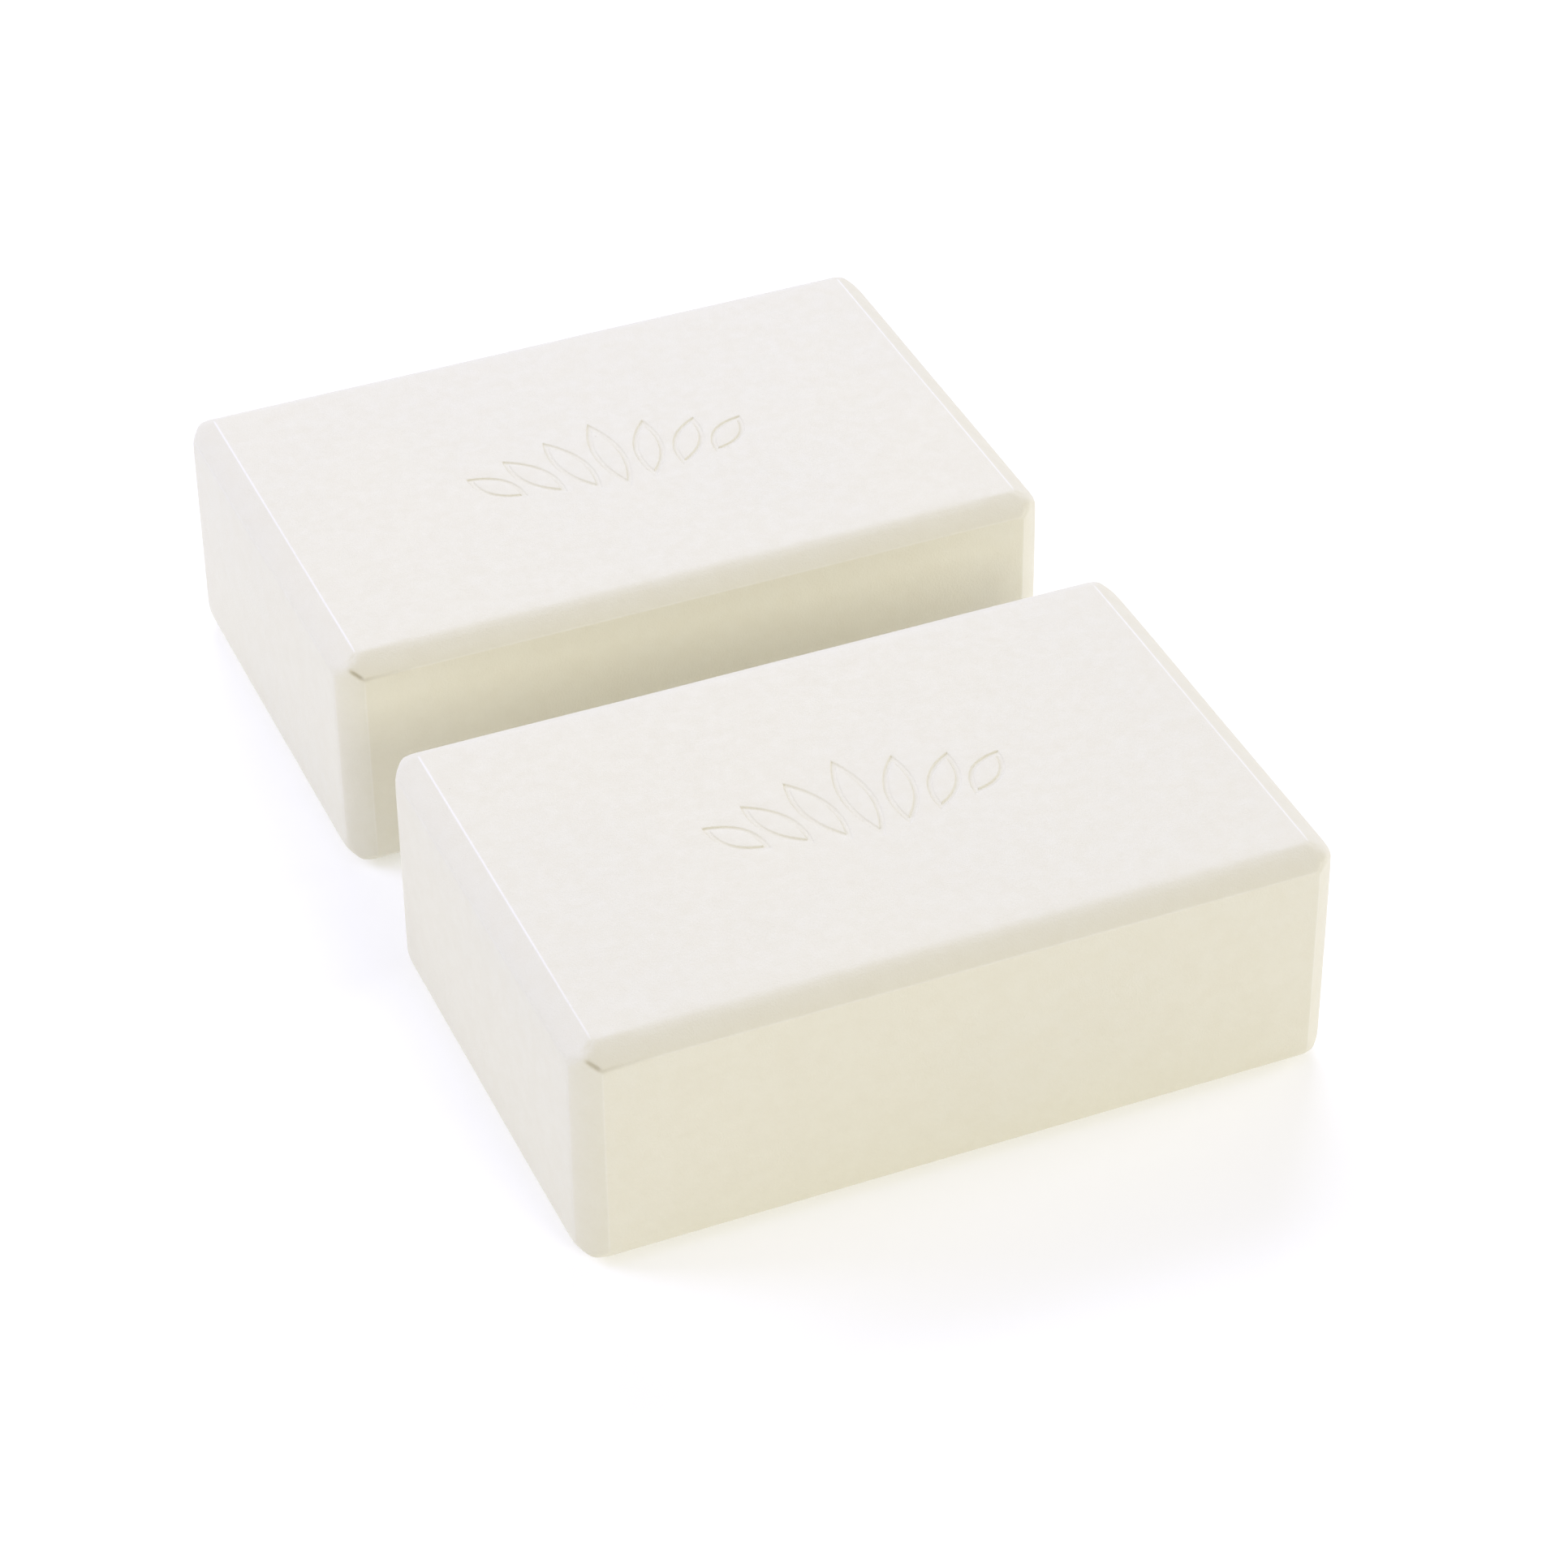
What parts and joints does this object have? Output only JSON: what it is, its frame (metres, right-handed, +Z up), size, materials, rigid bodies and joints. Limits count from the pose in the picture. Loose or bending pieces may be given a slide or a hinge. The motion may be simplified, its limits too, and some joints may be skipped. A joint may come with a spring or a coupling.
{
  "type": "foam exercise block pair",
  "caption": "Loose closed-cell foam exercise blocks side by side: long boxes with bevelled edges and a leaf ornament pressed into the top, used to support a hand, foot or seat.",
  "frame": {"origin": "on the floor, midway between the two blocks and at the middle of their length", "axes": "+X along the blocks' long side, +Y from the front block to the rear block, +Z up"},
  "size_m": [0.2286, 0.3448, 0.0762],
  "materials": {
    "foam": "matte"
  },
  "bodies": {
    "front_block": {"front_block": "foam"},
    "rear_block": {"rear_block": "foam"}
  },
  "joints": [
    {"name": "rear_block_lift", "type": "slide", "parent": "front_block", "child": "rear_block", "axis": [0, 0, 1], "range_m": [0, 0.12]}
  ]
}
